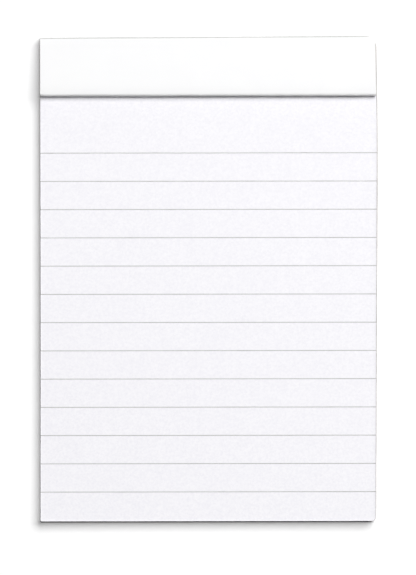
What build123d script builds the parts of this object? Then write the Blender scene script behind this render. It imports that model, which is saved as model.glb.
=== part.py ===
from build123d import *
import math
import os

# A small ruled notepad that lies on its back. X runs across the sheets, Y towards the glued head and
# Z up. The origin is on the resting face, under the middle of the pad. Sizes are in millimetres.

# Outline of the whole pad, from the tail of the backing board to the outside of the head
pad_width = 103.95
pad_length = 150.1

# Writing sheets and card wrap, cut a little narrower than the board between them
sheet_count = 25
sheet_thickness = 0.1
side_inset = 0.25  # board beyond the sheets and the wrap at each long side
tail_inset = 0.5  # board beyond the sheets at the tail

# Backing board
board_thickness = 0.6

# Card wrap: back panel, spine, header and a hem rolled under the header
card_thickness = 0.35
fold_inside_radius = 0.3  # the two folds at the head
fold_clearance = 0.05  # from the curve of a fold to the block
header_length = 18.3  # from the outside of the head to the rolled lip
lip_inside_radius = 0.55
hem_setback = 7.0  # from the outside of the head to the cut end of the hem

# Ruling printed on the top sheet
line_pitch = 8.73
line_width = 0.25
ink_thickness = 0.02
first_line_drop = 17.5  # from the rolled lip to the first line
tail_margin = 6.0  # least space under the last line

# Places along Y, from the tail to the head
tail_y = -pad_length / 2
head_y = pad_length / 2
spine_y = head_y - card_thickness  # inside of the spine
fold_y = spine_y - fold_inside_radius  # axis of both folds
block_head_y = fold_y - fold_clearance
sheet_tail_y = tail_y + tail_inset
lip_y = head_y - header_length
lip_axis_y = lip_y + card_thickness + lip_inside_radius
hem_end_y = head_y - hem_setback

# Heights, from the resting face upwards
board_z = card_thickness
sheets_z = board_z + board_thickness
top_z = sheets_z + sheet_count * sheet_thickness
foot_fold_z = board_z + fold_inside_radius  # axis of the lower fold
hem_top_z = top_z + card_thickness
lip_axis_z = hem_top_z + lip_inside_radius

sheet_width = pad_width - 2 * side_inset


def slab(width, tail, head, bottom, top):
    outline = Plane.XY.offset(bottom) * Pos(0, (tail + head) / 2) * Rectangle(width, head - tail)
    return extrude(outline, amount=top - bottom)


# The header is a straight run that leaves the head fold and meets the rolled lip on a common tangent.
# Headings are in degrees from +Y, turning towards +Z.
run_y = lip_axis_y - fold_y
run_z = lip_axis_z - top_z
radius_step = lip_inside_radius - fold_inside_radius
axis_distance = math.hypot(run_y, run_z)
axis_heading = math.degrees(math.atan2(run_z, run_y))
header_heading = axis_heading - math.degrees(math.asin(radius_step / axis_distance))
header_run = math.sqrt(axis_distance**2 - radius_step**2)


def card_side(depth):
    # One face of the card from the tail to the end of the hem, at a depth outside its inner face
    panel = Line((tail_y, board_z - depth), (fold_y, board_z - depth))
    foot_fold = JernArc(panel @ 1, panel % 1, fold_inside_radius + depth, 90)
    spine = Line(foot_fold @ 1, (spine_y + depth, top_z))
    head_fold = JernArc(spine @ 1, spine % 1, fold_inside_radius + depth, header_heading - 90)
    header = PolarLine(head_fold @ 1, header_run, direction=head_fold % 1)
    lip = JernArc(header @ 1, header % 1, lip_inside_radius + depth, 360 - header_heading)
    hem = Line(lip @ 1, (hem_end_y, hem_top_z - depth))
    return [panel, foot_fold, spine, head_fold, header, lip, hem]


def build_wrap_cover():
    inner = card_side(0)
    outer = card_side(card_thickness)
    tail_cut = Line(outer[0] @ 0, inner[0] @ 0)
    hem_cut = Line(inner[-1] @ 1, outer[-1] @ 1)
    section = make_face(inner + [hem_cut] + outer + [tail_cut])
    return extrude(Plane.YZ * section, amount=sheet_width / 2, both=True)


def build_backing_board():
    return slab(pad_width, tail_y, block_head_y, board_z, sheets_z)


def build_ruled_sheets():
    return slab(sheet_width, sheet_tail_y, block_head_y, sheets_z, top_z)


def build_padding_glue():
    # The film fills the head between the block and the straight part of the spine
    return slab(sheet_width, block_head_y, spine_y, foot_fold_z, top_z)


def build_ruled_lines():
    first_line_y = lip_y - first_line_drop
    ruled_depth = first_line_y - sheet_tail_y - tail_margin
    line_count = int(ruled_depth // line_pitch) + 1
    half_line = line_width / 2
    lines = []
    for number in range(line_count):
        line_y = first_line_y - number * line_pitch
        lines.append(slab(sheet_width, line_y - half_line, line_y + half_line, top_z, top_z + ink_thickness))
    return Compound(children=lines)


pieces = {
    "wrap_cover": build_wrap_cover(),
    "backing_board": build_backing_board(),
    "ruled_sheets": build_ruled_sheets(),
    "padding_glue": build_padding_glue(),
    "ruled_lines": build_ruled_lines(),
}

os.makedirs("parts", exist_ok=True)
for name, shape in pieces.items():
    export_step(shape, f"parts/{name}.step")
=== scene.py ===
import math
import random

import bpy
from mathutils import Euler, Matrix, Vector, noise


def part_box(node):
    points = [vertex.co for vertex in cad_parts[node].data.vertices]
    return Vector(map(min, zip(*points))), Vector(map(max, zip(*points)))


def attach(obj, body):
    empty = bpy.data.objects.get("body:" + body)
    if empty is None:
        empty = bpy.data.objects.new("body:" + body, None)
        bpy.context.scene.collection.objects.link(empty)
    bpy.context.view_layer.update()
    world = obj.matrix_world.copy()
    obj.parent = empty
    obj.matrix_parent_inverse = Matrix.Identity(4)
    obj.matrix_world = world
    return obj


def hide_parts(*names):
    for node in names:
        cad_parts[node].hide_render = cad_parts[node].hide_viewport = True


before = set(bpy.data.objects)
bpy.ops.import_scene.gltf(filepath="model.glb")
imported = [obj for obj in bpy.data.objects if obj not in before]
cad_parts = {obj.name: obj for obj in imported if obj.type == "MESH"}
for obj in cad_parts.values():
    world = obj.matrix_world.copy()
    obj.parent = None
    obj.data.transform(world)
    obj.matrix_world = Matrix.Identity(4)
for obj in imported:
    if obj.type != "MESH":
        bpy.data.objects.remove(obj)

mm = 0.001  # the frame is in metres, the sizes in the dictionaries are in millimetres
quarterTurn = math.pi / 2
mixFactor, mixFrom, mixTo, mixResult = 0, 6, 7, 2  # a mix node's factor and colour sockets
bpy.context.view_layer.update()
print("frame loaded:", sorted(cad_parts))


def boxMm(node):
    low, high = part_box(node)
    return Vector(low) / mm, Vector(high) / mm


boardLow, boardHigh = boxMm("backing_board")
sheetsLow, sheetsHigh = boxMm("ruled_sheets")
wrapLow, wrapHigh = boxMm("wrap_cover")
glueLow, glueHigh = boxMm("padding_glue")
rulingLow, rulingHigh = boxMm("ruled_lines")


def linear(hexColour):
    channels = [int(hexColour[i:i + 2], 16) / 255 for i in (1, 3, 5)]
    curved = [c / 12.92 if c <= 0.04045 else ((c + 0.055) / 1.055) ** 2.4 for c in channels]
    return (*curved, 1.0)


def addNode(tree, kind, settings=None, links=None):
    # a setting is an attribute of the node or one of its inputs, a link is input: output
    node = tree.nodes.new(kind)
    for name, value in (settings or {}).items():
        if isinstance(name, str) and hasattr(node, name):
            setattr(node, name, value)
        else:
            node.inputs[name].default_value = value
    for name, output in (links or {}).items():
        tree.links.new(output, node.inputs[name])
    return node


def newMaterial(name):
    material = bpy.data.materials.new(name)
    material.use_nodes = True
    material.node_tree.nodes.clear()
    return material, material.node_tree


def perMetre(sizeMm):
    # noise scale that gives features of this size
    return 1 / (sizeMm * mm)


def newObject(name, data):
    made = bpy.data.objects.new(name, data)
    bpy.context.scene.collection.objects.link(made)
    return made


def newPiece(name, points, faces, materials, faceSlots=None, creaseAngle=None):
    # points in mm; with a crease angle in degrees the piece is smooth shaded and creases there
    mesh = bpy.data.meshes.new(name)
    mesh.from_pydata([Vector(p) * mm for p in points], [], faces)
    for material in materials:
        mesh.materials.append(material)
    if faceSlots:
        mesh.polygons.foreach_set("material_index", faceSlots)
    if creaseAngle:
        mesh.polygons.foreach_set("use_smooth", [True] * len(mesh.polygons))
        mesh.set_sharp_from_angle(angle=math.radians(creaseAngle))
    mesh.update()
    return newObject(name, mesh)


def dress(piece, slotName, *nodes):
    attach(piece, "root")
    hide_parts(*nodes)
    print(f"{piece.name}: {len(piece.data.polygons)} faces")


# Slow wander of edges and heights: noise along a lane for each use, so that no two run alike
wander = {"gain": 1.6, "laneGap": 7.31, "plane": 0.37}
lanes = {
    "blockEnds": 0,
    "lipRise": 1,
    "lipLine": 2,
    "scuffAndShade": 3,
    "ruling": 20,  # and one more for each line
    "pages": 40,  # and one more for each sheet
    "board": 80,
    "glueFoot": 90,
    "glueTop": 91,
}


def drift(place, lane, length):
    # between about -1 and 1 along a place in mm
    return wander["gain"] * noise.noise(Vector((place / length, wander["laneGap"] * lane, wander["plane"])))


def driftShare(place, lane, length):
    # the same between about 0 and 1
    return 0.5 + 0.5 * drift(place, lane, length)


def ease(share):
    share = min(1.0, max(0.0, share))
    return share * share * (3 - 2 * share)


def evenSteps(start, end, step):
    count = max(1, round((end - start) / step))
    return [start + (end - start) * n / count for n in range(count + 1)]


def drawIn(place, fixed, edge, depth):
    # shrinks a side about a fixed place so that its edge moves in by the depth
    return fixed + (place - fixed) * (1 - depth / abs(edge - fixed))


def stackLoops(loops):
    # side faces between closed loops of equal length, and a fan of faces over each end
    size = len(loops[0])
    points = [point for loop in loops for point in loop]
    faces = []
    top = len(points) - size
    for n in range(size):
        after = (n + 1) % size
        for low in range(0, top, size):
            high = low + size
            faces.append((low + n, low + after, high + after, high + n))
        faces.append((after, n, len(points)))
        faces.append((top + n, top + after, len(points) + 1))
    for loop in (loops[0], loops[-1]):
        points.append([sum(axis) / size for axis in zip(*loop)])
    return points, faces


def slabFaces(rows, columns, front, back):
    # closes a thin slab, from the point numbers of its front and back; the faces of its rim come last
    lastRow, lastColumn = rows - 1, columns - 1
    faces = []
    for i in range(lastRow):
        for j in range(lastColumn):
            faces.append((front(i, j), front(i + 1, j), front(i + 1, j + 1), front(i, j + 1)))
            faces.append((back(i, j + 1), back(i + 1, j + 1), back(i + 1, j), back(i, j)))
    for i in range(lastRow):
        j = lastColumn
        faces.append((back(i, 0), back(i + 1, 0), front(i + 1, 0), front(i, 0)))
        faces.append((front(i, j), front(i + 1, j), back(i + 1, j), back(i, j)))
    for j in range(lastColumn):
        i = lastRow
        faces.append((front(0, j), front(0, j + 1), back(0, j + 1), back(0, j)))
        faces.append((back(i, j), back(i, j + 1), front(i, j + 1), front(i, j)))
    return faces


# Uncoated offset paper, calendered: dead matt cool white, cloudy against the light, with short fibres
writingPaper = {
    "colour": "#F4F3F6",
    "cloud": "#F0EFF3",
    "cloudSize": 6.0,
    "toothColour": "#E6E5EB",
    "toothSize": 0.75,  # real tooth is near 0.1 mm, drawn coarser so that it shows
    "toothRange": (0.38, 0.78),  # noise levels between which it sets in
    "toothShare": 0.75,  # of its colour at most
    "toothHeight": 0.004,
    "toothStrength": 0.6,
    "fibreColour": "#E9E8EE",
    "fibreWidth": 0.16,  # real fibres are 0.03 mm, drawn coarser so that they show
    "fibreLength": 1.8,
    "fibreTurns": (28, 100, 164),  # degrees
    "fibreRange": (0.6, 0.72),
    "fibreShare": 0.4,
    "fibreKink": 0.5,
    "roughness": 0.92,
    "ior": 1.5,
    "specular": 0.2,
}


def makeWritingPaper():
    material, tree = newMaterial("uncoated offset paper")
    place = addNode(tree, "ShaderNodeTexCoord").outputs["Object"]
    cloud = addNode(tree, "ShaderNodeTexNoise", {
        "Scale": perMetre(writingPaper["cloudSize"]), "Detail": 3.0,
    }, {"Vector": place})
    tooth = addNode(tree, "ShaderNodeTexNoise", {
        "Scale": perMetre(writingPaper["toothSize"]), "Detail": 3.0, "Roughness": 0.6,
    }, {"Vector": place})
    clouded = addNode(tree, "ShaderNodeMix", {
        "data_type": "RGBA", mixFrom: linear(writingPaper["colour"]), mixTo: linear(writingPaper["cloud"]),
    }, {mixFactor: cloud.outputs["Fac"]})
    toothFrom, toothTo = writingPaper["toothRange"]
    toothShare = addNode(tree, "ShaderNodeMapRange", {
        "From Min": toothFrom, "From Max": toothTo, "To Max": writingPaper["toothShare"],
    }, {"Value": tooth.outputs["Fac"]})
    colour = addNode(tree, "ShaderNodeMix", {
        "data_type": "RGBA", mixTo: linear(writingPaper["toothColour"]),
    }, {mixFactor: toothShare.outputs["Result"], mixFrom: clouded.outputs[mixResult]})
    height = tooth.outputs["Fac"]
    fibreFrom, fibreTo = writingPaper["fibreRange"]
    for turn in writingPaper["fibreTurns"]:
        laid = addNode(tree, "ShaderNodeMapping", {
            "vector_type": "TEXTURE",
            "Rotation": (0, 0, math.radians(turn)),
            "Scale": (writingPaper["fibreLength"] * mm, writingPaper["fibreWidth"] * mm, mm),
        }, {"Vector": place})
        fibre = addNode(tree, "ShaderNodeTexNoise", {
            "Scale": 1.0, "Detail": 1.0, "Distortion": writingPaper["fibreKink"],
        }, {"Vector": laid.outputs["Vector"]})
        fibreShare = addNode(tree, "ShaderNodeMapRange", {
            "From Min": fibreFrom, "From Max": fibreTo, "To Max": writingPaper["fibreShare"],
        }, {"Value": fibre.outputs["Fac"]})
        colour = addNode(tree, "ShaderNodeMix", {
            "data_type": "RGBA", mixTo: linear(writingPaper["fibreColour"]),
        }, {mixFactor: fibreShare.outputs["Result"], mixFrom: colour.outputs[mixResult]})
        raised = addNode(tree, "ShaderNodeMath", {"operation": "ADD"},
                         {0: height, 1: fibreShare.outputs["Result"]})
        height = raised.outputs["Value"]
    bump = addNode(tree, "ShaderNodeBump", {
        "Distance": writingPaper["toothHeight"] * mm, "Strength": writingPaper["toothStrength"],
    }, {"Height": height})
    surface = addNode(tree, "ShaderNodeBsdfPrincipled", {
        "Roughness": writingPaper["roughness"], "IOR": writingPaper["ior"],
        "Specular IOR Level": writingPaper["specular"],
    }, {"Base Color": colour.outputs[mixResult], "Normal": bump.outputs["Normal"]})
    addNode(tree, "ShaderNodeOutputMaterial", None, {"Surface": surface.outputs["BSDF"]})
    return material


# Guillotined paper edges: the same paper end on, each sheet a little lighter or darker than the next
cutPaper = {
    "colour": "#E3E2E6",
    "shade": "#C8C7CC",
    "sheetPitch": 0.1,
    "streakLength": 14.0,
    "streakRange": (0.35, 0.7),  # noise levels between which the shade sets in
    "roughness": 0.95,
    "ior": 1.5,
    "specular": 0.15,
}


def makeCutPaper():
    material, tree = newMaterial("guillotined paper edge")
    place = addNode(tree, "ShaderNodeTexCoord").outputs["Object"]
    along, across = perMetre(cutPaper["streakLength"]), perMetre(cutPaper["sheetPitch"])
    stretched = addNode(tree, "ShaderNodeMapping", {"Scale": (along, along, across)}, {"Vector": place})
    streak = addNode(tree, "ShaderNodeTexNoise", {"Scale": 1.0, "Detail": 2.0},
                     {"Vector": stretched.outputs["Vector"]})
    streakFrom, streakTo = cutPaper["streakRange"]
    share = addNode(tree, "ShaderNodeMapRange", {"From Min": streakFrom, "From Max": streakTo},
                    {"Value": streak.outputs["Fac"]})
    colour = addNode(tree, "ShaderNodeMix", {
        "data_type": "RGBA", mixFrom: linear(cutPaper["colour"]), mixTo: linear(cutPaper["shade"]),
    }, {mixFactor: share.outputs["Result"]})
    surface = addNode(tree, "ShaderNodeBsdfPrincipled", {
        "Roughness": cutPaper["roughness"], "IOR": cutPaper["ior"],
        "Specular IOR Level": cutPaper["specular"],
    }, {"Base Color": colour.outputs[mixResult]})
    addNode(tree, "ShaderNodeOutputMaterial", None, {"Surface": surface.outputs["BSDF"]})
    return material


# Light grey litho ink, soaked into the paper: as matt as the sheet, a little uneven along each line
rulingInk = {
    "colour": "#B0B0AF",
    "thin": "#BDBDBC",
    "unevenSize": 5.0,
    "speckSize": 0.3,
    "thinRange": (0.1, 0.42),  # noise levels between which the ink thins
    "roughness": 0.9,
    "ior": 1.5,
    "specular": 0.2,
}


def makeRulingInk():
    material, tree = newMaterial("light grey litho ink")
    place = addNode(tree, "ShaderNodeTexCoord").outputs["Object"]
    uneven = addNode(tree, "ShaderNodeTexNoise", {
        "Scale": perMetre(rulingInk["unevenSize"]), "Detail": 2.0,
    }, {"Vector": place})
    speck = addNode(tree, "ShaderNodeTexNoise", {
        "Scale": perMetre(rulingInk["speckSize"]), "Detail": 2.0,
    }, {"Vector": place})
    both = addNode(tree, "ShaderNodeMath", {"operation": "MULTIPLY"},
                   {0: uneven.outputs["Fac"], 1: speck.outputs["Fac"]})
    thinFrom, thinTo = rulingInk["thinRange"]
    share = addNode(tree, "ShaderNodeMapRange", {"From Min": thinFrom, "From Max": thinTo},
                    {"Value": both.outputs["Value"]})
    inked = addNode(tree, "ShaderNodeMix", {
        "data_type": "RGBA", mixFrom: linear(rulingInk["colour"]), mixTo: linear(rulingInk["thin"]),
    }, {mixFactor: share.outputs["Result"]})
    surface = addNode(tree, "ShaderNodeBsdfPrincipled", {
        "Roughness": rulingInk["roughness"], "IOR": rulingInk["ior"],
        "Specular IOR Level": rulingInk["specular"],
    }, {"Base Color": inked.outputs[mixResult]})
    addNode(tree, "ShaderNodeOutputMaterial", None, {"Surface": surface.outputs["BSDF"]})
    return material


# White card with a smooth clay coat: whiter than the sheets, low soft sheen, crazed grey over its folds, a
# grey that is also painted shade along the head fold
coatedCard = {
    "colour": "#EDEDED",
    "mottle": "#EAEAEB",
    "mottleSize": 9.0,
    # the crazed grey is both worn coat and painted shade along the head fold
    "crazedAndShade": "#AEAEAC",
    "crackLength": 0.5,
    "crackWidth": 0.06,  # real cracks are hair fine, drawn coarser so that they show
    "crazedAndShadeRange": (0.8, 1.6),  # wear and painted shade together with noise, between which it turns grey
    "peelSize": 0.9,
    "peelHeight": 0.003,
    "peelStrength": 0.4,
    "roughness": 0.6,
    "ior": 1.5,
    "specular": 0.2,
}


def makeCoatedCard():
    material, tree = newMaterial("clay coated white card")
    place = addNode(tree, "ShaderNodeTexCoord").outputs["Object"]
    mottle = addNode(tree, "ShaderNodeTexNoise", {
        "Scale": perMetre(coatedCard["mottleSize"]), "Detail": 3.0,
    }, {"Vector": place})
    white = addNode(tree, "ShaderNodeMix", {
        "data_type": "RGBA", mixFrom: linear(coatedCard["colour"]), mixTo: linear(coatedCard["mottle"]),
    }, {mixFactor: mottle.outputs["Fac"]})
    along, across = perMetre(coatedCard["crackLength"]), perMetre(coatedCard["crackWidth"])
    laid = addNode(tree, "ShaderNodeMapping", {"Scale": (along, across, across)}, {"Vector": place})
    crack = addNode(tree, "ShaderNodeTexNoise", {"Scale": 1.0, "Detail": 3.0},
                    {"Vector": laid.outputs["Vector"]})
    # the wear attribute holds real fold wear together with painted shade along the head fold
    wornAndShaded = addNode(tree, "ShaderNodeAttribute", {"attribute_name": "wear"})
    ragged = addNode(tree, "ShaderNodeMath", {"operation": "ADD"},
                     {0: wornAndShaded.outputs["Fac"], 1: crack.outputs["Fac"]})
    crazedAndShadeFrom, crazedAndShadeTo = coatedCard["crazedAndShadeRange"]
    wornAndShadedShare = addNode(tree, "ShaderNodeMapRange", {"From Min": crazedAndShadeFrom, "From Max": crazedAndShadeTo},
                        {"Value": ragged.outputs["Value"]})
    colour = addNode(tree, "ShaderNodeMix", {
        "data_type": "RGBA", mixTo: linear(coatedCard["crazedAndShade"]),
    }, {mixFactor: wornAndShadedShare.outputs["Result"], mixFrom: white.outputs[mixResult]})
    peel = addNode(tree, "ShaderNodeTexNoise", {
        "Scale": perMetre(coatedCard["peelSize"]), "Detail": 2.0,
    }, {"Vector": place})
    bump = addNode(tree, "ShaderNodeBump", {
        "Distance": coatedCard["peelHeight"] * mm, "Strength": coatedCard["peelStrength"],
    }, {"Height": peel.outputs["Fac"]})
    surface = addNode(tree, "ShaderNodeBsdfPrincipled", {
        "Roughness": coatedCard["roughness"], "IOR": coatedCard["ior"],
        "Specular IOR Level": coatedCard["specular"],
    }, {"Base Color": colour.outputs[mixResult], "Normal": bump.outputs["Normal"]})
    addNode(tree, "ShaderNodeOutputMaterial", None, {"Surface": surface.outputs["BSDF"]})
    return material


# Raw pulp core of the card where it was cut: unbleached beside the coat, soft and a little hairy
cardCore = {
    "colour": "#E6E3DD",
    "shade": "#CFCBC3",
    "fibreSize": 0.12,
    "fibreRange": (0.35, 0.7),  # noise levels between which the shade sets in
    "roughness": 0.95,
    "ior": 1.5,
    "specular": 0.15,
}


def makeCardCore():
    material, tree = newMaterial("cut card core")
    place = addNode(tree, "ShaderNodeTexCoord").outputs["Object"]
    fibre = addNode(tree, "ShaderNodeTexNoise", {
        "Scale": perMetre(cardCore["fibreSize"]), "Detail": 3.0,
    }, {"Vector": place})
    fibreFrom, fibreTo = cardCore["fibreRange"]
    share = addNode(tree, "ShaderNodeMapRange", {"From Min": fibreFrom, "From Max": fibreTo},
                    {"Value": fibre.outputs["Fac"]})
    colour = addNode(tree, "ShaderNodeMix", {
        "data_type": "RGBA", mixFrom: linear(cardCore["colour"]), mixTo: linear(cardCore["shade"]),
    }, {mixFactor: share.outputs["Result"]})
    surface = addNode(tree, "ShaderNodeBsdfPrincipled", {
        "Roughness": cardCore["roughness"], "IOR": cardCore["ior"],
        "Specular IOR Level": cardCore["specular"],
    }, {"Base Color": colour.outputs[mixResult]})
    addNode(tree, "ShaderNodeOutputMaterial", None, {"Surface": surface.outputs["BSDF"]})
    return material


# Grey board of recycled fibre, uncoated: flat grey with pale and dark flecks and layers at its cut edge
greyBoard = {
    "colour": "#B8B6B4",
    "darkFleck": "#878482",
    "paleFleck": "#C4C2BF",
    "fleckSize": 0.22,
    "darkRange": (0.55, 0.75),  # noise levels between which the dark flecks set in
    "paleRange": (0.42, 0.28),  # and the pale ones, downwards
    "fleckHeight": 0.02,
    "fleckStrength": 0.5,
    "layerPitch": 0.15,
    "layerLength": 5.0,
    "layerRange": (0.45, 0.7),
    "layerShare": 0.5,  # of the dark flecks' colour at most
    "roughness": 0.95,
    "ior": 1.5,
    "specular": 0.15,
}


def makeGreyBoard():
    material, tree = newMaterial("recycled grey board")
    place = addNode(tree, "ShaderNodeTexCoord").outputs["Object"]
    fleck = addNode(tree, "ShaderNodeTexNoise", {
        "Scale": perMetre(greyBoard["fleckSize"]), "Detail": 5.0, "Roughness": 0.6,
    }, {"Vector": place})
    darkFrom, darkTo = greyBoard["darkRange"]
    dark = addNode(tree, "ShaderNodeMapRange", {"From Min": darkFrom, "From Max": darkTo},
                   {"Value": fleck.outputs["Fac"]})
    paleFrom, paleTo = greyBoard["paleRange"]
    pale = addNode(tree, "ShaderNodeMapRange", {"From Min": paleFrom, "From Max": paleTo},
                   {"Value": fleck.outputs["Fac"]})
    along, across = perMetre(greyBoard["layerLength"]), perMetre(greyBoard["layerPitch"])
    stretched = addNode(tree, "ShaderNodeMapping", {"Scale": (along, along, across)}, {"Vector": place})
    layer = addNode(tree, "ShaderNodeTexNoise", {"Scale": 1.0, "Detail": 2.0},
                    {"Vector": stretched.outputs["Vector"]})
    layerFrom, layerTo = greyBoard["layerRange"]
    layerShare = addNode(tree, "ShaderNodeMapRange", {
        "From Min": layerFrom, "From Max": layerTo, "To Max": greyBoard["layerShare"],
    }, {"Value": layer.outputs["Fac"]})
    layered = addNode(tree, "ShaderNodeMix", {
        "data_type": "RGBA", mixFrom: linear(greyBoard["colour"]), mixTo: linear(greyBoard["darkFleck"]),
    }, {mixFactor: layerShare.outputs["Result"]})
    darker = addNode(tree, "ShaderNodeMix", {
        "data_type": "RGBA", mixTo: linear(greyBoard["darkFleck"]),
    }, {mixFactor: dark.outputs["Result"], mixFrom: layered.outputs[mixResult]})
    colour = addNode(tree, "ShaderNodeMix", {
        "data_type": "RGBA", mixTo: linear(greyBoard["paleFleck"]),
    }, {mixFactor: pale.outputs["Result"], mixFrom: darker.outputs[mixResult]})
    bump = addNode(tree, "ShaderNodeBump", {
        "Distance": greyBoard["fleckHeight"] * mm, "Strength": greyBoard["fleckStrength"],
    }, {"Height": fleck.outputs["Fac"]})
    surface = addNode(tree, "ShaderNodeBsdfPrincipled", {
        "Roughness": greyBoard["roughness"], "IOR": greyBoard["ior"],
        "Specular IOR Level": greyBoard["specular"],
    }, {"Base Color": colour.outputs[mixResult], "Normal": bump.outputs["Normal"]})
    addNode(tree, "ShaderNodeOutputMaterial", None, {"Surface": surface.outputs["BSDF"]})
    return material


# Dried white padding glue, brushed on: rubbery, milky, a low uneven gloss
paddingGlue = {
    "colour": "#E9E7E0",
    "thin": "#DAD7CC",
    "lumpSize": 1.6,
    "lumpHeight": 0.05,
    "lumpStrength": 0.5,
    "roughness": 0.35,
    "ior": 1.47,
}


def makePaddingGlue():
    material, tree = newMaterial("dried padding glue")
    place = addNode(tree, "ShaderNodeTexCoord").outputs["Object"]
    lump = addNode(tree, "ShaderNodeTexNoise", {
        "Scale": perMetre(paddingGlue["lumpSize"]), "Detail": 3.0,
    }, {"Vector": place})
    colour = addNode(tree, "ShaderNodeMix", {
        "data_type": "RGBA", mixFrom: linear(paddingGlue["colour"]), mixTo: linear(paddingGlue["thin"]),
    }, {mixFactor: lump.outputs["Fac"]})
    bump = addNode(tree, "ShaderNodeBump", {
        "Distance": paddingGlue["lumpHeight"] * mm, "Strength": paddingGlue["lumpStrength"],
    }, {"Height": lump.outputs["Fac"]})
    surface = addNode(tree, "ShaderNodeBsdfPrincipled", {
        "Roughness": paddingGlue["roughness"], "IOR": paddingGlue["ior"],
    }, {"Base Color": colour.outputs[mixResult], "Normal": bump.outputs["Normal"]})
    addNode(tree, "ShaderNodeOutputMaterial", None, {"Surface": surface.outputs["BSDF"]})
    return material


paper = makeWritingPaper()
cutEdge = makeCutPaper()
ink = makeRulingInk()
card = makeCoatedCard()
core = makeCardCore()
board = makeGreyBoard()
glue = makePaddingGlue()
print("materials made")

# Trimmed sides: the right one runs out of square and draws in again at the head, the left one is a
# little hollow, and the tail corners are blunt
trimming = {
    "rightSlope": 0.005,
    "rightPivot": -62.0,
    "headStart": 38.0,  # from here the right side draws in towards the head
    "headEnd": 80.0,
    "leftOut": 0.02,  # the left side stands this far out where it is hollow
    "leftHollow": 0.1,  # and about this much more at its ends
    "hollowAt": 12.0,
    "rightCorner": 1.2,  # radii of the sheets' two tail corners
    "leftCorner": 0.35,
    "stiffCorner": 1.7,  # times blunter on the board and the card
    "edgeSteps": (0.12, 0.25, 0.42, 0.65, 0.95, 1.35),  # extra points this far in from a cut edge
}


def edgedSteps(start, end, step):
    # even steps, with some close together at both ends
    close = trimming["edgeSteps"]
    return sorted(evenSteps(start, end, step) + [start + s for s in close] + [end - s for s in close])


def rectangleWalk(low, high, step):
    # points once round an outline from its tail left corner, each with its distance along the outline
    corners = [(low.x, low.y), (high.x, low.y), (high.x, high.y), (low.x, high.y)]
    walk, walked = [], 0.0
    for side in range(4):
        start, end = corners[side], corners[(side + 1) % 4]
        length = math.dist(start, end)
        for s in edgedSteps(0, length, step)[:-1]:
            x = start[0] + (end[0] - start[0]) * s / length
            y = start[1] + (end[1] - start[1]) * s / length
            walk.append((x, y, walked + s))
        walked += length
    return walk


def blunt(a, b, radius):
    # how far a point near a corner moves in, from its distances to the two edges
    a, b = 1 - a / radius, 1 - b / radius
    if min(a, b) <= 0:
        return 0, 0
    a, b = min(a, 1), min(b, 1)
    return radius * a * (1 - math.sqrt(1 - b * b / 2)), radius * b * (1 - math.sqrt(1 - a * a / 2))


def trim(x, y, low, high, headShare=1.0, cornerShare=1.0):
    # the trimmed place of a point of a piece whose outline has these low and high corners
    if x > 0:
        radius = trimming["rightCorner"]
        spread = trimming["rightSlope"] * (y - trimming["rightPivot"])
        length = trimming["headEnd"] - trimming["headStart"]
        spread *= 1 - headShare * ease((y - trimming["headStart"]) / length)
    else:
        radius = trimming["leftCorner"]
        spread = -trimming["leftOut"] - trimming["leftHollow"] * ((y - trimming["hollowAt"]) / high.y) ** 2
    inX, inY = blunt(high.x - abs(x), y - low.y, radius * cornerShare)
    return x + abs(x) / high.x * spread - math.copysign(inX, x), y + inY


# Card wrap: one strip of card, folded round the head, its free edge rolled under into a hem
wrapCard = {
    "headerLength": 18.335,  # outside of the head to the rolled lip
    "hemSetback": 7.0,  # outside of the head to the cut end of the hem
    "skew": 0.22,  # the head is folded this far out of square at each end
    "skewFade": 25.0,  # along the back panel
    "rollLift": 0.15,  # the lip springs up by this
    "rollTilt": 0.08,  # more at its left end than at its right
    "rollWander": 0.02,  # and rises and falls by this
    "lineWander": 0.015,  # it strays this far from straight
    "wanderLength": 34.0,
    "scoreDepth": 0.03,  # dents beside the scored folds
    "scoreWidth": 0.22,
    "footWear": 2.6,  # the foot fold is worn in full after one part in this of its turn
    "headWearAndShade": 3.4,  # the head fold, worn and painted with a shade line, up to the last part in this
    "scuffAndShadeWidth": 0.25,  # the coat is scuffed and painted with shade this far down the spine from each fold
    "scuffAndShadeWander": 0.1,  # more in some places than in others
    "scuffAndShadeLength": 7.0,
    "scuffAndShadeEnd": 3.0,  # wear, scuffs and painted shade fade out over this length at the right end
    "headOut": 0.16,  # the head stands this far proud of the plain shape
    "headSink": 0.25,  # the head fold is pressed down over the sheets
    "bow": 0.12,  # the header springs up by this between its fold and its roll
    "bowCrest": 0.85,  # most at this share of its length
    "hemMitre": 0.3,  # the turned under hem is this much narrower at each end
    "mitreFrom": 0.25,  # from this share of the roll on
    "cutSoftness": 0.035,  # rounding of the cut edges
    "fineStep": 0.09,
    "coarseStep": 4.0,
    "stepGrowth": 1.25,
    "foldSteps": 12,
    "rollSteps": 30,
    "stationStep": 1.25,
    "creaseAngle": 40,
}
lipY = wrapHigh.y - wrapCard["headerLength"]


def gradedSteps(length, first):
    # distances along a straight run, close together near both ends
    steps, step = [0.0], first
    while steps[-1] + step < length / 2:
        steps.append(steps[-1] + step)
        step = min(wrapCard["coarseStep"], max(step, wrapCard["fineStep"]) * wrapCard["stepGrowth"])
    return steps + [length - s for s in reversed(steps)]


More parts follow.
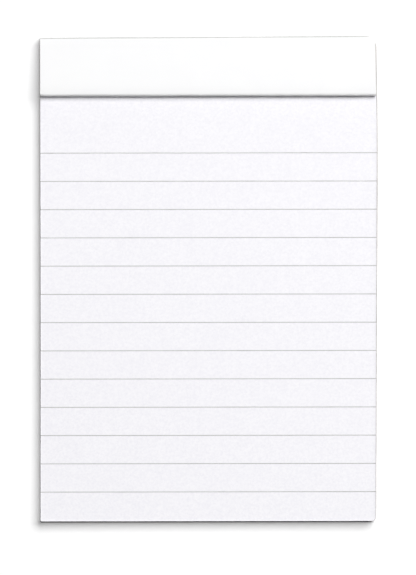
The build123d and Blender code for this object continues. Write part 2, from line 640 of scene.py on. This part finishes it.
def cardPath():
    # spots along the card's inner face from the tail to the end of the hem: each has the way its outer face
    # looks, and its shares of the head's shift, the lip's lift and line, the mitre, the dents and the wear
    # with its painted shade
    thick = boardLow.z - wrapLow.z
    fold = glueLow.z - boardLow.z
    topZ = sheetsHigh.z
    roll = (wrapHigh.z - topZ) / 2 - thick
    headY = wrapHigh.y
    foldY = headY - thick - fold
    rollY = lipY + thick + roll
    rollZ = topZ + thick + roll
    hemEnd = headY - wrapCard["hemSetback"]
    foldZ = topZ - wrapCard["headSink"]
    reach = math.hypot(foldY - rollY, rollZ - foldZ)
    along = math.pi - math.asin((rollZ - foldZ) / reach) - math.asin((roll - fold) / reach)
    out = along - quarterTurn  # the way the header's outer face looks, square to its run
    down, downAgain = -quarterTurn, 3 * quarterTurn  # before and after the card's full turn
    crest = wrapCard["bowCrest"]
    rise = wrapCard["bow"] / reach * quarterTurn / crest  # the header's turn at the head, from the bow
    fall = wrapCard["bow"] / reach * quarterTurn / (1 - crest)  # and at the roll
    path = []

    def straight(start, end, facing, first, shares):
        length = math.dist(start, end)
        for s in gradedSteps(length, first):
            t = s / length
            y = start[0] + (end[0] - start[0]) * t
            z = start[1] + (end[1] - start[1]) * t
            path.append({"y": y, "z": z, "facing": facing, **shares(s, length)})

    def bend(centre, radius, start, end, count, shares):
        for n in range(1, count):
            t = n / count
            facing = start + (end - start) * t
            y = centre[0] + radius * math.cos(facing)
            z = centre[1] + radius * math.sin(facing)
            path.append({"y": y, "z": z, "facing": facing, **shares(t)})

    def dent(s):
        return math.exp(-(s / wrapCard["scoreWidth"]) ** 2)

    def onPanel(s, length):
        return {"head": ease(1 - (length - s) / wrapCard["skewFade"]), "dent": dent(length - s)}

    def onFootFold(t):
        return {"head": 1, "wear": ease(wrapCard["footWear"] * t)}

    def onSpine(s, length):
        edge = min(s, length - s)
        return {"head": 1, "dent": dent(edge), "wear": ease(1 - edge / wrapCard["scuffAndShadeWidth"])}

    # on the head fold the wear is mostly a painted shade line
    def onHeadFold(t):
        return {"head": 1, "wear": ease(wrapCard["headWearAndShade"] * (1 - t))}

    def onHeader(s, length):
        share = s / length
        if share < crest:
            phase, steepest = quarterTurn * (1 - share / crest), -rise
        else:
            phase, steepest = quarterTurn * (share - crest) / (1 - crest), fall
        return {"head": 1 - share, "lip": share, "line": ease(share), "dent": dent(s),
                "bow": wrapCard["bow"] * math.cos(phase), "turn": steepest * math.sin(phase)}

    def onRoll(t):
        mitre = ease((t - wrapCard["mitreFrom"]) / (1 - wrapCard["mitreFrom"]))
        return {"lip": (1 + math.cos(math.pi * t)) / 2, "line": 1, "mitre": mitre}

    def onHem(s, length):
        return {"line": 1 - ease(s / length), "mitre": 1}

    soft, fine = wrapCard["cutSoftness"], wrapCard["fineStep"]
    folds, rolls = wrapCard["foldSteps"], wrapCard["rollSteps"]
    headerStart = (foldY + fold * math.cos(out), foldZ + fold * math.sin(out))
    headerEnd = (rollY + roll * math.cos(out), rollZ + roll * math.sin(out))
    straight((wrapLow.y, boardLow.z), (foldY, boardLow.z), down, soft, onPanel)
    bend((foldY, boardLow.z + fold), fold, down, 0, folds, onFootFold)
    straight((foldY + fold, boardLow.z + fold), (foldY + fold, foldZ), 0, fine, onSpine)
    bend((foldY, foldZ), fold, 0, out - rise, folds, onHeadFold)
    straight(headerStart, headerEnd, out, fine, onHeader)
    bend((rollY, rollZ), roll, out + fall, downAgain, rolls, onRoll)
    straight((rollY, topZ + thick), (hemEnd, topZ + thick), downAgain, soft, onHem)
    return path, thick


def headShift(x):
    return wrapCard["headOut"] + wrapCard["skew"] * x / wrapHigh.x


def buildWrap():
    path, thick = cardPath()
    soft = wrapCard["cutSoftness"]
    half = wrapHigh.x
    stations = [-half] + edgedSteps(-half + soft, half - soft, wrapCard["stationStep"]) + [half]
    last, end = len(stations) - 1, len(path) - 1
    points, wear = [], []
    for i, x in enumerate(stations):
        lift = wrapCard["rollLift"] - wrapCard["rollTilt"] * x / half
        lift += wrapCard["rollWander"] * drift(x, lanes["lipRise"], wrapCard["wanderLength"])
        stray = wrapCard["lineWander"] * drift(x, lanes["lipLine"], wrapCard["wanderLength"])
        # scuffs and the painted shade line vary along the fold and fade out at the right end
        scuffAndShade = 1 - wrapCard["scuffAndShadeWander"] * driftShare(x, lanes["scuffAndShade"], wrapCard["scuffAndShadeLength"])
        scuffAndShade *= ease((half - x) / wrapCard["scuffAndShadeEnd"])
        for j, spot in enumerate(path):
            pinch = soft if i in (0, last) or j in (0, end) else 0
            facing = spot["facing"] + spot.get("turn", 0)
            outY, outZ = math.cos(facing), math.sin(facing)
            bow = spot.get("bow", 0)
            y = spot["y"] + outY * bow + headShift(x) * spot.get("head", 0) + stray * spot.get("line", 0)
            z = spot["z"] + outZ * bow + lift * spot.get("lip", 0)
            narrow = drawIn(x, 0, half, wrapCard["hemMitre"] * spot.get("mitre", 0))
            side, y = trim(narrow, y, wrapLow, wrapHigh, cornerShare=trimming["stiffCorner"])
            reach = thick - pinch - wrapCard["scoreDepth"] * spot.get("dent", 0)
            points.append((side, y + outY * pinch, z + outZ * pinch))
            points.append((side, y + outY * reach, z + outZ * reach))
            wear += [0.0, spot.get("wear", 0.0) * scuffAndShade]

    def inner(j, i):
        return 2 * (i * len(path) + j)

    def outer(j, i):
        return inner(j, i) + 1

    faces = slabFaces(len(path), len(stations), outer, inner)
    coat, cut = 0, 1  # the card's two materials
    slots = []
    for j in range(end):
        for i in range(last):
            atEdge = i in (0, last - 1) or j in (0, end - 1)
            slots += [cut if atEdge else coat] * 2
    slots += [cut] * (len(faces) - len(slots))
    piece = newPiece("wrap_card", points, faces, [card, core], slots, wrapCard["creaseAngle"])
    piece.data.attributes.new("wear", "FLOAT", "POINT").data.foreach_set("value", wear)
    return piece


dress(buildWrap(), "wrap_card", "wrap_cover")

# Sheets: glued at the head, free at the tail, so they cockle and lift a little towards their free corners
sheets = {
    "thickness": 0.1,
    "cornerLift": 0.16,
    "liftPower": 4,  # the higher, the nearer to the tail the lift sets in
    "cockle": 0.06,
    "cockleLength": 40.0,
    "cocklePlane": 4.2,  # where the noise is cut
    "cockleStart": 2,  # in full after one part in this of the free length
    "burr": 0.08,  # the knife turned the cut edges up by this
    "burrWidth": 0.3,
    "burrStart": 8,  # in full after one part in this of the free length
    "gridStep": 2.0,
    "creaseAngle": 40,
}


def sheetLift(x, y):
    free = max(0.0, (lipY - y) / (lipY - sheetsLow.y))
    corner = sheets["cornerLift"] * free ** sheets["liftPower"] * (x / sheetsHigh.x) ** 2
    edge = max(0.0, min(sheetsHigh.x - abs(x), y - sheetsLow.y))
    burr = sheets["burr"] * math.exp(-edge / sheets["burrWidth"]) * ease(sheets["burrStart"] * free)
    size = sheets["cockleLength"]
    wave = 0.5 + 0.5 * noise.noise(Vector((x / size, y / size, sheets["cocklePlane"])))
    return corner + burr + sheets["cockle"] * ease(sheets["cockleStart"] * free) * wave


# Ruling: printed lines from edge to edge of the top sheet
ruling = {
    "lineWidth": 0.25,
    "linePitch": 8.73,
    "proud": 0.008,
    "sunk": 0.004,
    "widthWander": 0.06,
    "wanderLength": 4.0,
}
lineCount = round((rulingHigh.y - rulingLow.y - ruling["lineWidth"]) / ruling["linePitch"]) + 1
lineYs = [rulingHigh.y - ruling["lineWidth"] / 2 - n * ruling["linePitch"] for n in range(lineCount)]
sheetXs = edgedSteps(sheetsLow.x, sheetsHigh.x, sheets["gridStep"])


def buildTopSheet():
    ys = sorted(edgedSteps(sheetsLow.y, sheetsHigh.y, sheets["gridStep"]) + lineYs)
    points = []
    for drop in (0, sheets["thickness"]):
        for x in sheetXs:
            for y in ys:
                points.append((*trim(x, y, sheetsLow, sheetsHigh), sheetsHigh.z + sheetLift(x, y) - drop))

    def top(i, j):
        return i * len(ys) + j

    def under(i, j):
        return len(points) // 2 + top(i, j)

    faces = slabFaces(len(sheetXs), len(ys), top, under)
    return newPiece("top_sheet", points, faces, [paper], creaseAngle=sheets["creaseAngle"])


def buildRuling():
    points, faces = [], []
    for n, y in enumerate(lineYs):
        loops = []
        for x in sheetXs:
            wide = 1 + ruling["widthWander"] * drift(x, lanes["ruling"] + n, ruling["wanderLength"])
            half = ruling["lineWidth"] / 2 * wide
            low = sheetsHigh.z + sheetLift(x, y) - ruling["sunk"]
            high = low + ruling["sunk"] + ruling["proud"]
            tail = trim(x, y - half, sheetsLow, sheetsHigh)
            head = trim(x, y + half, sheetsLow, sheetsHigh)
            loops.append([(*tail, low), (*head, low), (*head, high), (*tail, high)])
        linePoints, lineFaces = stackLoops(loops)
        faces += [tuple(len(points) + corner for corner in face) for face in lineFaces]
        points += linePoints
    return newPiece("ruling", points, faces, [ink])


dress(buildTopSheet(), "writing_paper", "ruled_sheets")
dress(buildRuling(), "ruling_ink", "ruled_lines")

# Page block: the sheets under the top one, each guillotined edge its own step, some gaps deeper than others
pageBlock = {
    "fan": 0.035,  # a sheet's usual turn about the glued head, measured at the tail
    "edgeDrift": 0.012,
    "driftLength": 13.0,
    "gapDepth": 0.05,
    "gapLeast": 0.5,  # a plain gap is from this to one more times that deep
    "wideGapDepth": 0.3,
    "wideGapShare": 0.15,
    "edgeShare": 0.62,  # part of a sheet's thickness that stands at its full width
    "walkStep": 2.2,
    "capSink": 0.12,  # the hidden top dips under the top sheet
    "capInset": 4.0,
    "seed": 11,
}


def buildPageBlock():
    draw = random.Random(pageBlock["seed"])
    walk = rectangleWalk(sheetsLow, sheetsHigh, pageBlock["walkStep"])
    thick = sheets["thickness"]
    count = round((sheetsHigh.z - sheetsLow.z) / thick) - 1
    length = sheetsHigh.y - sheetsLow.y
    loops = []

    def addLoop(height, inset, turn, lane):
        level = (height - sheetsLow.z) / (count * thick)
        loop = []
        for x, y, walked in walk:
            free = (sheetsHigh.y - y) / length
            depth = (inset + pageBlock["edgeDrift"] * drift(walked, lane, pageBlock["driftLength"])) * free
            edgeX = drawIn(x, 0, sheetsHigh.x, depth) + turn * free
            edgeY = drawIn(y, sheetsHigh.y, sheetsLow.y, depth)
            lifted = height + level * level * sheetLift(x, y)
            loop.append((*trim(edgeX, edgeY, sheetsLow, sheetsHigh), lifted))
        loops.append(loop)

    addLoop(sheetsLow.z, 0, 0, lanes["blockEnds"])
    for n in range(count):
        turn = draw.gauss(0, pageBlock["fan"])
        back = abs(draw.gauss(0, pageBlock["fan"]))
        if draw.random() < pageBlock["wideGapShare"]:
            gap = pageBlock["wideGapDepth"]
        else:
            gap = pageBlock["gapDepth"] * (pageBlock["gapLeast"] + draw.random())
        low = sheetsLow.z + n * thick
        margin = thick * (1 - pageBlock["edgeShare"]) / 2
        lane = lanes["pages"] + n
        addLoop(low + margin, back, turn, lane)
        addLoop(low + thick - margin, back, turn, lane)
        if n < count - 1:
            addLoop(low + thick, back + gap, turn, lane)
    top = sheetsLow.z + count * thick
    addLoop(top, pageBlock["gapDepth"], 0, lanes["blockEnds"])
    dipZ = top - pageBlock["capSink"]
    inset = pageBlock["capInset"]
    middleY = (sheetsLow.y + sheetsHigh.y) / 2
    loops.append([(drawIn(x, 0, sheetsHigh.x, inset), drawIn(y, middleY, sheetsHigh.y, inset), dipZ)
                  for x, y, walked in walk])
    points, faces = stackLoops(loops)
    return newPiece("page_block", points, faces, [cutEdge])


dress(buildPageBlock(), "writing_paper", "ruled_sheets")

# Backing board: die cut, with softly crushed edges
backBoard = {
    "leftDraw": 0.05,  # it is drawn in a little on the left
    "rightLedge": 0.05,  # and stands out a little on the right
    "rightBow": 0.1,  # by this much more at the middle of a slow bow
    "bowAt": 22.0,
    "bowSpan": 46.0,
    "headShare": 0.7,  # it draws in less at the head than the sheets do
    "headCorner": 2.3,  # radius of its two head corners
    "rounding": 0.1,
    "fray": 0.02,
    "frayLength": 3.0,
    "walkStep": 1.2,
    "arcSteps": 4,
    "creaseAngle": 50,
}


def buildBackBoard():
    walk = rectangleWalk(boardLow, boardHigh, backBoard["walkStep"])
    radius = backBoard["rounding"]
    turns = [n / backBoard["arcSteps"] * quarterTurn for n in range(backBoard["arcSteps"] + 1)]
    profile = [(radius * (1 - math.sin(a)), boardLow.z + radius * (1 - math.cos(a))) for a in turns]
    profile += [(inset, boardLow.z + boardHigh.z - z) for inset, z in reversed(profile)]
    middleY = (boardLow.y + boardHigh.y) / 2
    loops = []
    for inset, z in profile:
        loop = []
        for x, y, walked in walk:
            depth = inset + backBoard["fray"] * driftShare(walked, lanes["board"], backBoard["frayLength"])
            edgeX = drawIn(x, 0, boardHigh.x, depth)
            edgeY = drawIn(y, middleY, boardHigh.y, depth)
            edgeX, edgeY = trim(edgeX, edgeY, boardLow, boardHigh, backBoard["headShare"],
                                trimming["stiffCorner"])
            if x > 0:
                away = (y - backBoard["bowAt"]) / backBoard["bowSpan"]
                ledge = backBoard["rightLedge"] + backBoard["rightBow"] * math.exp(-away ** 2)
            else:
                ledge = backBoard["leftDraw"]
            inX, inY = blunt(boardHigh.x - abs(x), boardHigh.y - y, backBoard["headCorner"])
            edgeX += ledge * abs(x) / boardHigh.x - math.copysign(inX, x)
            loop.append((edgeX, edgeY - inY, z))
        loops.append(loop)
    points, faces = stackLoops(loops)
    return newPiece("back_board", points, faces, [board], creaseAngle=backBoard["creaseAngle"])


dress(buildBackBoard(), "grey_board", "backing_board")

# Padding glue: a brushed film between the block and the spine, drawn in a little at its two ends
glueFilm = {
    "endGap": 0.12,
    "endRounding": 0.1,
    "lump": 0.08,
    "lumpLength": 5.0,
    "corner": 0.1,
    "stationStep": 1.5,
    "creaseAngle": 60,
}


def buildGlueFilm():
    half = glueHigh.x - glueFilm["endGap"]
    rounding = glueFilm["endRounding"]
    corner = glueFilm["corner"]
    lump, lumpLength = glueFilm["lump"], glueFilm["lumpLength"]
    stations = [(x, 0) for x in evenSteps(-half + rounding, half - rounding, glueFilm["stationStep"])]
    stations = [(-half, rounding)] + stations + [(half, rounding)]
    loops = []
    for x, inset in stations:
        low = glueLow.z + inset + lump * driftShare(x, lanes["glueFoot"], lumpLength)
        high = glueHigh.z - wrapCard["headSink"] - inset
        high -= lump * driftShare(x, lanes["glueTop"], lumpLength)
        tail = glueLow.y + inset / 2
        head = max(glueHigh.y + headShift(x) - inset / 2, tail + corner / 2)
        bevel = min(corner, (head - tail) / 3)
        loops.append([(x, tail + bevel, low), (x, head - bevel, low), (x, head, low + corner),
                      (x, head, high - corner), (x, head - bevel, high), (x, tail + bevel, high),
                      (x, tail, high - corner), (x, tail, low + corner)])
    points, faces = stackLoops(loops)
    return newPiece("glue_film", points, faces, [glue], creaseAngle=glueFilm["creaseAngle"])


dress(buildGlueFilm(), "padding_adhesive", "padding_glue")

# Floor, light and camera
studio = {
    "floorColour": "#DADADA",
    "floorRoughness": 0.9,
    "floorGlow": 0.31,  # the white table is lit from below, which lifts its shadows
    "farGlow": 0.95,  # more so far off, where the softbox no longer reaches
    "glowFrom": 0.1,  # metres
    "glowTo": 1.4,
    "floorSize": 20.0,  # metres
    "roomColour": "#FFFFFF",
    "skyStrength": 0.05,
    "horizonStrength": 0.9,  # a pale band low round the table, for views from the side
    "horizonHeight": 0.16,  # sine of its angle
    "keyAt": (1.5, 1.9, 2.8),  # metres, up and to the right of the pad
    "keySize": 2.8,
    "keyPower": 236.0,
}
floorMaterial, floorTree = newMaterial("white table")
floorPlace = addNode(floorTree, "ShaderNodeTexCoord").outputs["Object"]
floorReach = addNode(floorTree, "ShaderNodeVectorMath", {"operation": "LENGTH"}, {"Vector": floorPlace})
floorGlow = addNode(floorTree, "ShaderNodeMapRange", {
    "From Min": studio["glowFrom"], "From Max": studio["glowTo"],
    "To Min": studio["floorGlow"], "To Max": studio["farGlow"],
}, {"Value": floorReach.outputs["Value"]})
floorSurface = addNode(floorTree, "ShaderNodeBsdfPrincipled", {
    "Base Color": linear(studio["floorColour"]), "Roughness": studio["floorRoughness"],
    "Specular IOR Level": 0.0, "Emission Color": linear(studio["roomColour"]),
}, {"Emission Strength": floorGlow.outputs["Result"]})
addNode(floorTree, "ShaderNodeOutputMaterial", None, {"Surface": floorSurface.outputs["BSDF"]})
edge = studio["floorSize"] / 2 / mm
floorCorners = [(-edge, -edge, 0), (edge, -edge, 0), (edge, edge, 0), (-edge, edge, 0)]
floor = newPiece("floor", floorCorners, [(0, 1, 2, 3)], [floorMaterial])

world = bpy.data.worlds.new("white room")
bpy.context.scene.world = world
world.use_nodes = True
skyTree = world.node_tree
skyPlace = addNode(skyTree, "ShaderNodeTexCoord").outputs["Generated"]
skyAxes = addNode(skyTree, "ShaderNodeSeparateXYZ", None, {"Vector": skyPlace})
skyLevel = addNode(skyTree, "ShaderNodeMapRange", {
    "interpolation_type": "SMOOTHSTEP", "From Max": studio["horizonHeight"],
    "To Min": studio["horizonStrength"], "To Max": studio["skyStrength"],
}, {"Value": skyAxes.outputs["Z"]})
background = skyTree.nodes["Background"]
background.inputs["Color"].default_value = linear(studio["roomColour"])
skyTree.links.new(skyLevel.outputs["Result"], background.inputs["Strength"])

softbox = bpy.data.lights.new("softbox", "AREA")
softbox.shape = "SQUARE"
softbox.size = studio["keySize"]
softbox.energy = studio["keyPower"]
key = newObject("softbox", softbox)
key.location = studio["keyAt"]
key.visible_camera = False

# The photograph looks straight down from far off; its frame is 416 by 575 pixels
camera = {
    "framePixels": (416, 575),
    "mmPerPixel": 0.3091,
    "aim": (0.0, -2.34),  # mm, the pad's point at the middle of the frame
    "height": 2400.0,  # mm above the top sheet
    "roll": 0.09,  # degrees
    "sensorWidth": 36.0,
}
lens = bpy.data.cameras.new("camera")
lens.sensor_width = camera["sensorWidth"]
lens.lens = camera["sensorWidth"] * camera["height"] / (camera["framePixels"][1] * camera["mmPerPixel"])
viewer = newObject("camera", lens)
viewer.location = Vector((*camera["aim"], sheetsHigh.z + camera["height"])) * mm
viewer.rotation_euler = Euler((0, 0, math.radians(-camera["roll"])))
bpy.context.scene.camera = viewer
bpy.context.scene.view_settings.view_transform = "Standard"
print("studio and camera set")
